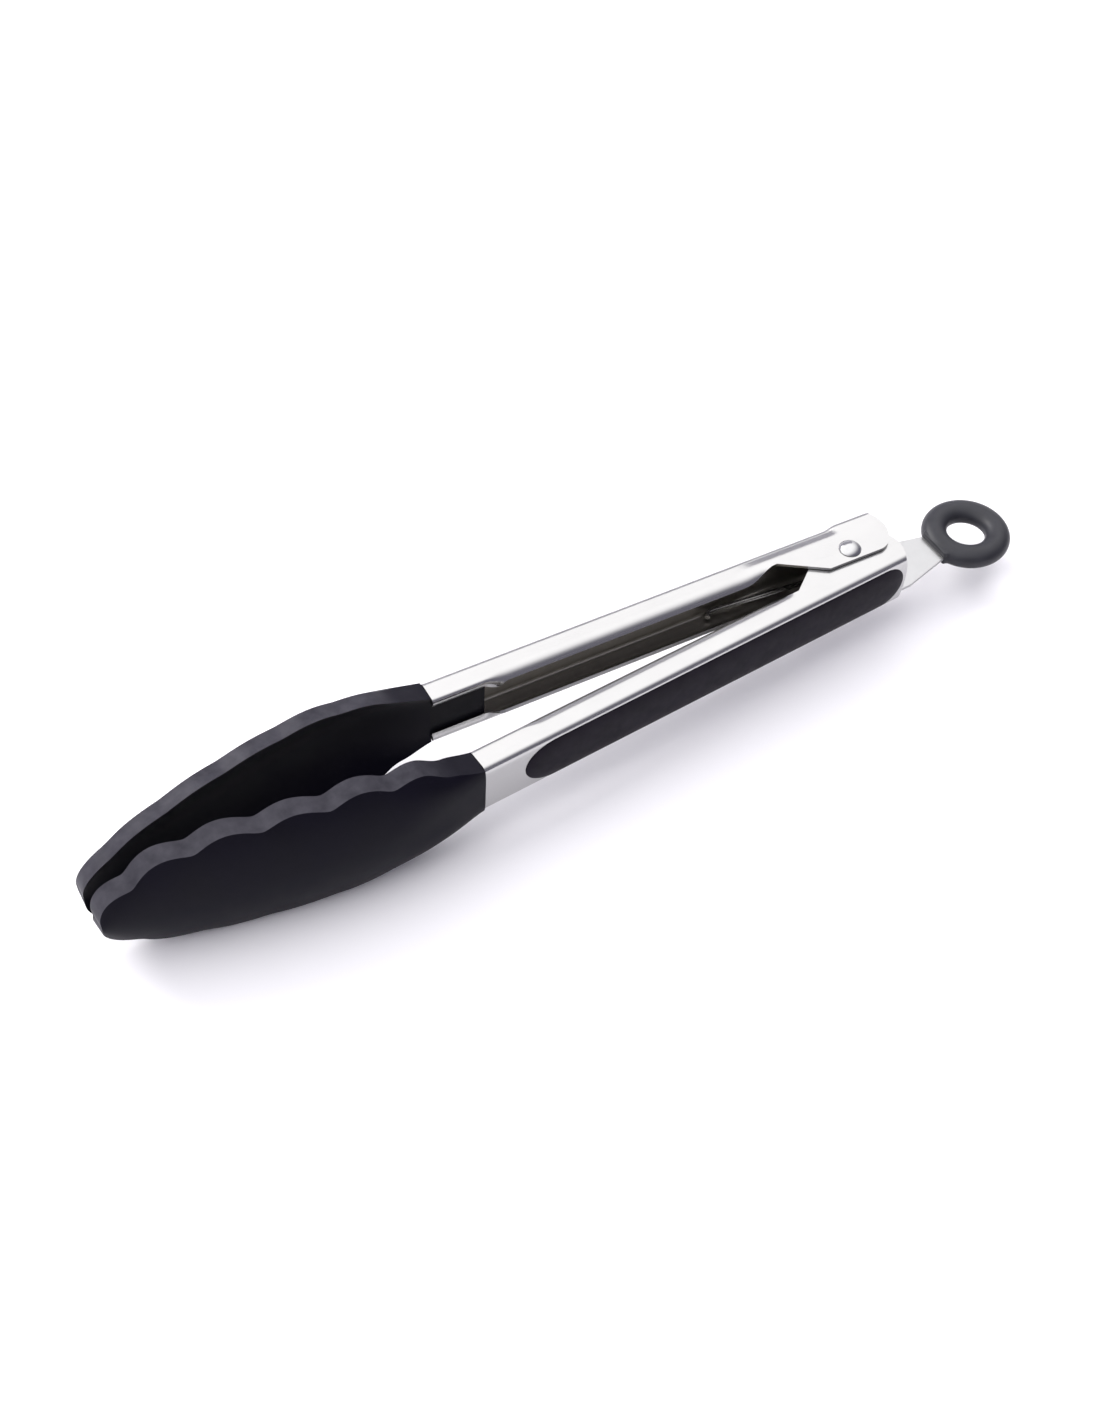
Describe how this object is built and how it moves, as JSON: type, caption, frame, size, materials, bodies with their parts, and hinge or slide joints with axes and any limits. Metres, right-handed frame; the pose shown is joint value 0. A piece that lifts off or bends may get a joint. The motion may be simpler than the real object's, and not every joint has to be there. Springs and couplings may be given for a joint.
{
  "type": "spring loaded kitchen tongs",
  "caption": "Hand-held kitchen tongs: two sprung steel channel arms with soft grips and scalloped silicone heads, locked shut by a sliding pull-ring plate.",
  "frame": {"origin": "bottom centre of the bounding box with the tongs lying on their side", "axes": "+X along the tongs from the heads to the hang ring, +Y from the near arm to the far arm, +Z along the rivet"},
  "size_m": [0.2778, 0.0402, 0.0381],
  "materials": {
    "steel": "satin, fine lengthwise brushing",
    "polished_steel": "polished",
    "spring_steel": "drawn wire",
    "silicone": "matt moulded",
    "nylon": "matt moulded",
    "grip_rubber": "fine matt texture",
    "ring_rubber": "soft satin"
  },
  "bodies": {
    "near_arm": {"near_arm_channel": "steel", "near_grip_insert": "grip_rubber", "near_head_core": "nylon", "near_head_shell": "silicone"},
    "far_arm": {"far_arm_channel": "steel", "far_grip_insert": "grip_rubber", "far_head_core": "nylon", "far_head_shell": "silicone"},
    "pivot": {"pivot_rivet": "polished_steel", "spacer_sleeve": "steel", "torsion_spring": "spring_steel"},
    "lock": {"lock_plate": "steel", "hang_ring": "ring_rubber"}
  },
  "joints": [
    {"name": "arm_hinge", "type": "hinge", "parent": "near_arm", "child": "far_arm", "pos_m": [0.0824, 0, 0.01904], "axis": [0, 0, -1], "range_deg": [-0.85, 23], "stiffness_Nm_per_rad": 0.35, "springref_deg": 34.38, "deforming": ["torsion_spring"]},
    {"name": "pivot_turn", "type": "hinge", "parent": "near_arm", "child": "pivot", "pos_m": [0.0824, 0, 0.01904], "axis": [0, 0, -1], "range_deg": [-0.5, 11.6]},
    {"name": "lock_slide", "type": "slide", "parent": "pivot", "child": "lock", "axis": [1, 0, 0], "range_m": [-0.0131, 0.0005]}
  ],
  "couplings": [
    {"joint": "pivot_turn", "follows": "arm_hinge", "ratio": 0.5},
    {"joint": "lock_slide", "follows": "arm_hinge", "m_per_rad": -0.032385}
  ]
}
